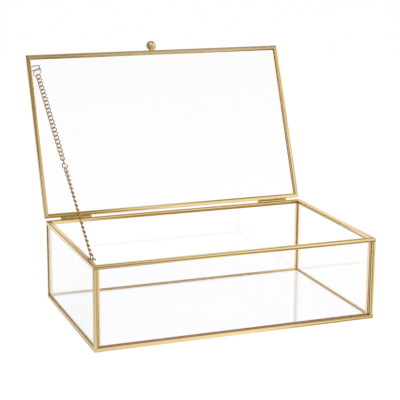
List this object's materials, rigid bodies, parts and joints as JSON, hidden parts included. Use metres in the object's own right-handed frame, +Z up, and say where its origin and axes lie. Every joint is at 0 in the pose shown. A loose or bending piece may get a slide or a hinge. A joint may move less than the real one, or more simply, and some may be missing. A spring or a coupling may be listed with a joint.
{
  "type": "jewelry box",
  "caption": "Rectangular clear glass box with brass edge strips; its flat glass lid, with a ball knob, is hinged at the back and held open by a side chain.",
  "frame": {"origin": "middle of the open box's footprint, on the surface it stands on", "axes": "+X to the right along the front, +Y to the back, +Z up"},
  "size_m": [0.2, 0.1772, 0.1771],
  "materials": {
    "clear_glass": "clear polished float glass",
    "brass_strip": "polished sheet brass",
    "brass_hinge": "rolled and polished brass",
    "brass_knob": "turned and polished brass",
    "brass_chain": "bright brass wire",
    "solder": "soldered, washed over with brass"
  },
  "bodies": {
    "box": {"front_pane": "clear_glass", "back_pane": "clear_glass", "left_pane": "clear_glass", "right_pane": "clear_glass", "base_pane": "clear_glass", "bottom_strip_front": "brass_strip", "bottom_strip_right": "brass_strip", "bottom_strip_back": "brass_strip", "bottom_strip_left": "brass_strip", "top_strip_front": "brass_strip", "top_strip_right": "brass_strip", "top_strip_back": "brass_strip", "top_strip_left": "brass_strip", "corner_post_front_left": "brass_strip", "corner_post_front_right": "brass_strip", "corner_post_back_left": "brass_strip", "corner_post_back_right": "brass_strip", "corner_bead_front_left": "brass_strip", "corner_bead_front_right": "brass_strip", "corner_bead_back_left": "brass_strip", "corner_bead_back_right": "brass_strip", "hinge_box_leaf_left": "brass_hinge", "hinge_box_leaf_right": "brass_hinge", "hinge_pin_left": "brass_hinge", "hinge_pin_right": "brass_hinge", "chain_box_eye": "brass_chain"},
    "lid": {"lid_pane": "clear_glass", "lid_strip_front": "brass_strip", "lid_strip_right": "brass_strip", "lid_strip_back": "brass_strip", "lid_strip_left": "brass_strip", "hinge_lid_leaf_left": "brass_hinge", "hinge_lid_leaf_right": "brass_hinge", "lid_knob": "brass_knob", "knob_solder": "solder", "chain_lid_eye": "brass_chain"},
    "lower_strand_1": {"chain_lower_1": "brass_chain"},
    "lower_strand_2": {"chain_lower_2": "brass_chain"},
    "lower_strand_3": {"chain_lower_3": "brass_chain"},
    "lower_strand_4": {"chain_lower_4": "brass_chain"},
    "lower_strand_5": {"chain_lower_5": "brass_chain"},
    "lower_strand_6": {"chain_lower_6": "brass_chain"},
    "lower_strand_7": {"chain_lower_7": "brass_chain"},
    "upper_strand_1": {"chain_upper_1": "brass_chain", "chain_ring": "brass_chain"},
    "upper_strand_2": {"chain_upper_2": "brass_chain"},
    "upper_strand_3": {"chain_upper_3": "brass_chain"},
    "upper_strand_4": {"chain_upper_4": "brass_chain"},
    "upper_strand_5": {"chain_upper_5": "brass_chain"},
    "upper_strand_6": {"chain_upper_6": "brass_chain"},
    "upper_strand_7": {"chain_upper_7": "brass_chain"}
  },
  "joints": [
    {"name": "lid_hinge", "type": "hinge", "parent": "box", "child": "lid", "pos_m": [0, 0.03473, 0.0575], "axis": [1, 0, 0], "range_deg": [0, 112.5]},
    {"name": "lower_fold_1", "type": "hinge", "parent": "box", "child": "lower_strand_1", "pos_m": [-0.0946, -0.06757, 0.0562], "axis": [-1, 0.0055, 0], "range_deg": [0, 125.6]},
    {"name": "lower_fold_2", "type": "hinge", "parent": "lower_strand_1", "child": "lower_strand_2", "pos_m": [-0.09441, -0.03382, 0.08056], "axis": [0.9981, 0.0324, -0.0526], "range_deg": [0, 29.8]},
    {"name": "lower_fold_3", "type": "hinge", "parent": "lower_strand_2", "child": "lower_strand_3", "pos_m": [-0.09439, -0.03071, 0.08281], "axis": [0.9843, 0.0996, -0.1456], "range_deg": [0, 32.1]},
    {"name": "lower_fold_4", "type": "hinge", "parent": "lower_strand_3", "child": "lower_strand_4", "pos_m": [-0.09438, -0.0276, 0.08505], "axis": [0.9919, -0.078, 0.1004], "range_deg": [0, 21.5]},
    {"name": "lower_fold_5", "type": "hinge", "parent": "lower_strand_4", "child": "lower_strand_5", "pos_m": [-0.09429, -0.01206, 0.09627], "axis": [0.1269, 0.5801, -0.8046], "range_deg": [0, 30.7]},
    {"name": "lower_fold_6", "type": "hinge", "parent": "lower_strand_5", "child": "lower_strand_6", "pos_m": [-0.09427, -0.00895, 0.09851], "axis": [-0.1187, 0.5816, -0.8048], "range_deg": [0, 35.9]},
    {"name": "lower_fold_7", "type": "hinge", "parent": "lower_strand_6", "child": "lower_strand_7", "pos_m": [-0.09426, -0.00585, 0.10075], "axis": [-0.1256, 0.5811, -0.8041], "range_deg": [0, 37.4]},
    {"name": "upper_fold_1", "type": "hinge", "parent": "lid", "child": "upper_strand_1", "pos_m": [-0.0938, 0.07606, 0.15988], "axis": [-1, 0.0021, 0.0049], "range_deg": [0, 58.9]},
    {"name": "upper_fold_2", "type": "hinge", "parent": "upper_strand_1", "child": "upper_strand_2", "pos_m": [-0.09401, 0.03766, 0.13216], "axis": [0.9705, -0.1447, 0.193], "range_deg": [0, 32.9]},
    {"name": "upper_fold_3", "type": "hinge", "parent": "upper_strand_2", "child": "upper_strand_3", "pos_m": [-0.09403, 0.03456, 0.12992], "axis": [0.8579, -0.3039, 0.4143], "range_deg": [0, 33.1]},
    {"name": "upper_fold_4", "type": "hinge", "parent": "upper_strand_3", "child": "upper_strand_4", "pos_m": [-0.09405, 0.03145, 0.12768], "axis": [0.5978, -0.4714, 0.6484], "range_deg": [0, 36.6]},
    {"name": "upper_fold_5", "type": "hinge", "parent": "upper_strand_4", "child": "upper_strand_5", "pos_m": [-0.09415, 0.0128, 0.11421], "axis": [0.1601, 0.5772, -0.8008], "range_deg": [0, 20.7]},
    {"name": "upper_fold_6", "type": "hinge", "parent": "upper_strand_5", "child": "upper_strand_6", "pos_m": [-0.09417, 0.00969, 0.11197], "axis": [0.434, 0.5257, -0.7316], "range_deg": [0, 30.8]},
    {"name": "upper_fold_7", "type": "hinge", "parent": "upper_strand_6", "child": "upper_strand_7", "pos_m": [-0.09419, 0.00659, 0.10973], "axis": [0.4588, 0.5184, -0.7217], "range_deg": [0, 28.3]}
  ],
  "couplings": [
    {"joint": "lower_fold_1", "follows": "lid_hinge", "ratio": 1.1158},
    {"joint": "lower_fold_2", "follows": "lid_hinge", "ratio": 0.26401},
    {"joint": "lower_fold_3", "follows": "lid_hinge", "ratio": 0.28459},
    {"joint": "lower_fold_4", "follows": "lid_hinge", "ratio": 0.19057},
    {"joint": "lower_fold_5", "follows": "lid_hinge", "ratio": 0.27159},
    {"joint": "lower_fold_6", "follows": "lid_hinge", "ratio": 0.31821},
    {"joint": "lower_fold_7", "follows": "lid_hinge", "ratio": 0.33156},
    {"joint": "upper_fold_1", "follows": "lid_hinge", "ratio": 0.52289},
    {"joint": "upper_fold_2", "follows": "lid_hinge", "ratio": 0.29143},
    {"joint": "upper_fold_3", "follows": "lid_hinge", "ratio": 0.29315},
    {"joint": "upper_fold_4", "follows": "lid_hinge", "ratio": 0.32471},
    {"joint": "upper_fold_5", "follows": "lid_hinge", "ratio": 0.183},
    {"joint": "upper_fold_6", "follows": "lid_hinge", "ratio": 0.2725},
    {"joint": "upper_fold_7", "follows": "lid_hinge", "ratio": 0.25069}
  ]
}
